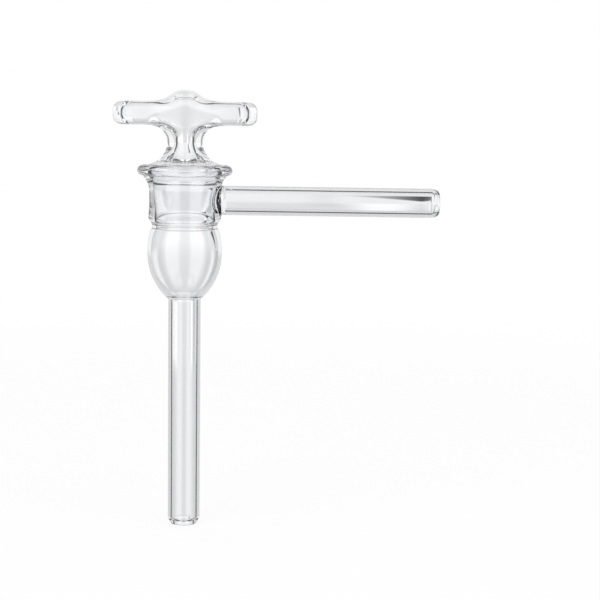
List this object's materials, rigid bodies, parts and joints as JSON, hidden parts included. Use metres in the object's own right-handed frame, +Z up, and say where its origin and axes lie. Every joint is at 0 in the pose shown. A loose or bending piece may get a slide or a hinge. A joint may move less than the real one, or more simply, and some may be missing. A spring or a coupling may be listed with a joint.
{
  "type": "glass stopcock",
  "caption": "Right-angle glass vacuum stopcock: a hollow ground plug with a T-handle in a beaded barrel, over an egg-shaped bulb and a lower tube, with a side arm.",
  "frame": {"origin": "centre of the lower tube's open end, on the barrel's axis", "axes": "+Z up along the barrel's axis towards the T-handle, +X along the side arm, +Y away from the viewer who has the side arm on the right"},
  "size_m": [0.1065, 0.031, 0.1441],
  "materials": {
    "barrel_glass": "clear, with a finely ground seat inside the barrel",
    "plug_glass": "clear, with a finely ground cone"
  },
  "bodies": {
    "barrel_body": {"barrel": "barrel_glass"},
    "plug_body": {"plug": "plug_glass"}
  },
  "joints": [
    {"name": "plug_turn", "type": "hinge", "parent": "barrel_body", "child": "plug_body", "pos_m": [0, 0, 0.1096], "axis": [0, 0, 1], "continuous": true}
  ]
}
